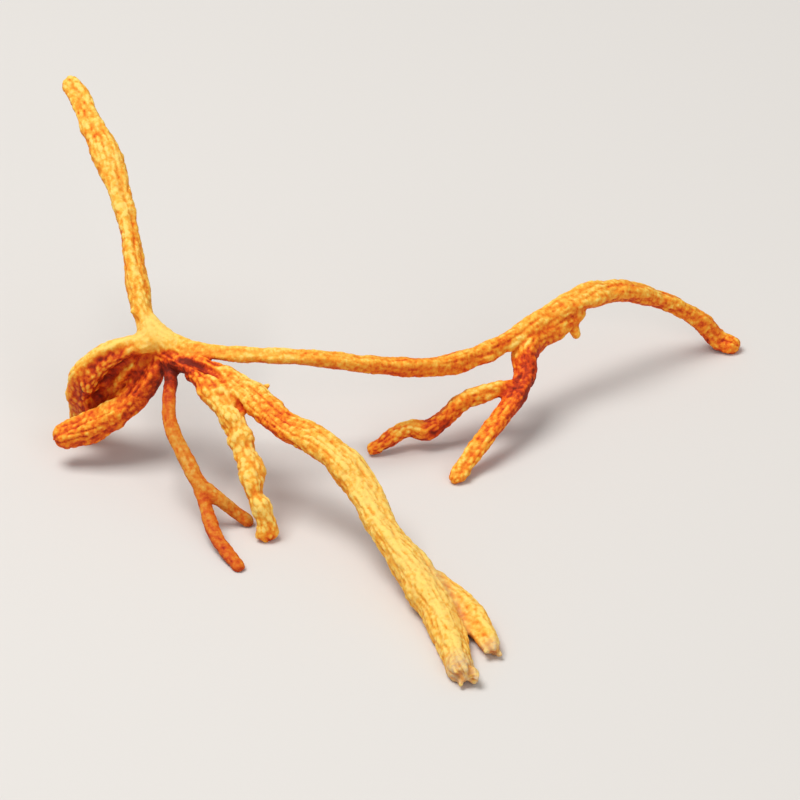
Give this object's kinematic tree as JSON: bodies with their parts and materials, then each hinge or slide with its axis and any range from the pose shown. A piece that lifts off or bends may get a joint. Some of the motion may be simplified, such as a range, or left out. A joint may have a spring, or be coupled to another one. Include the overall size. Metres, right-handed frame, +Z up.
{
  "type": "dried cordyceps",
  "caption": "Dried, branched cordyceps fruiting body with a pale torn stem, waving arms and orange clubs, lying on the tips of its branches.",
  "frame": {"origin": "centre of the bounding box on the surface that the piece lies on", "axes": "+Z up, +X to the right along the long waving branch as seen in the picture, +Y away from the camera"},
  "size_m": [0.056, 0.0548, 0.0236],
  "materials": {
    "pale_stem": "matte, fibrous, cream yellow with orange freckles",
    "amber_branch": "matte, wrinkled, amber to orange",
    "orange_club": "matte, pimpled, deep orange"
  },
  "bodies": {
    "root": {"stem": "pale_stem", "upper_branch": "amber_branch", "long_branch": "amber_branch", "knobbed_branch": "amber_branch", "hooked_branch": "amber_branch", "thin_branch": "amber_branch", "side_prong": "orange_club", "curled_club": "orange_club", "lower_club": "orange_club"}
  },
  "joints": []
}
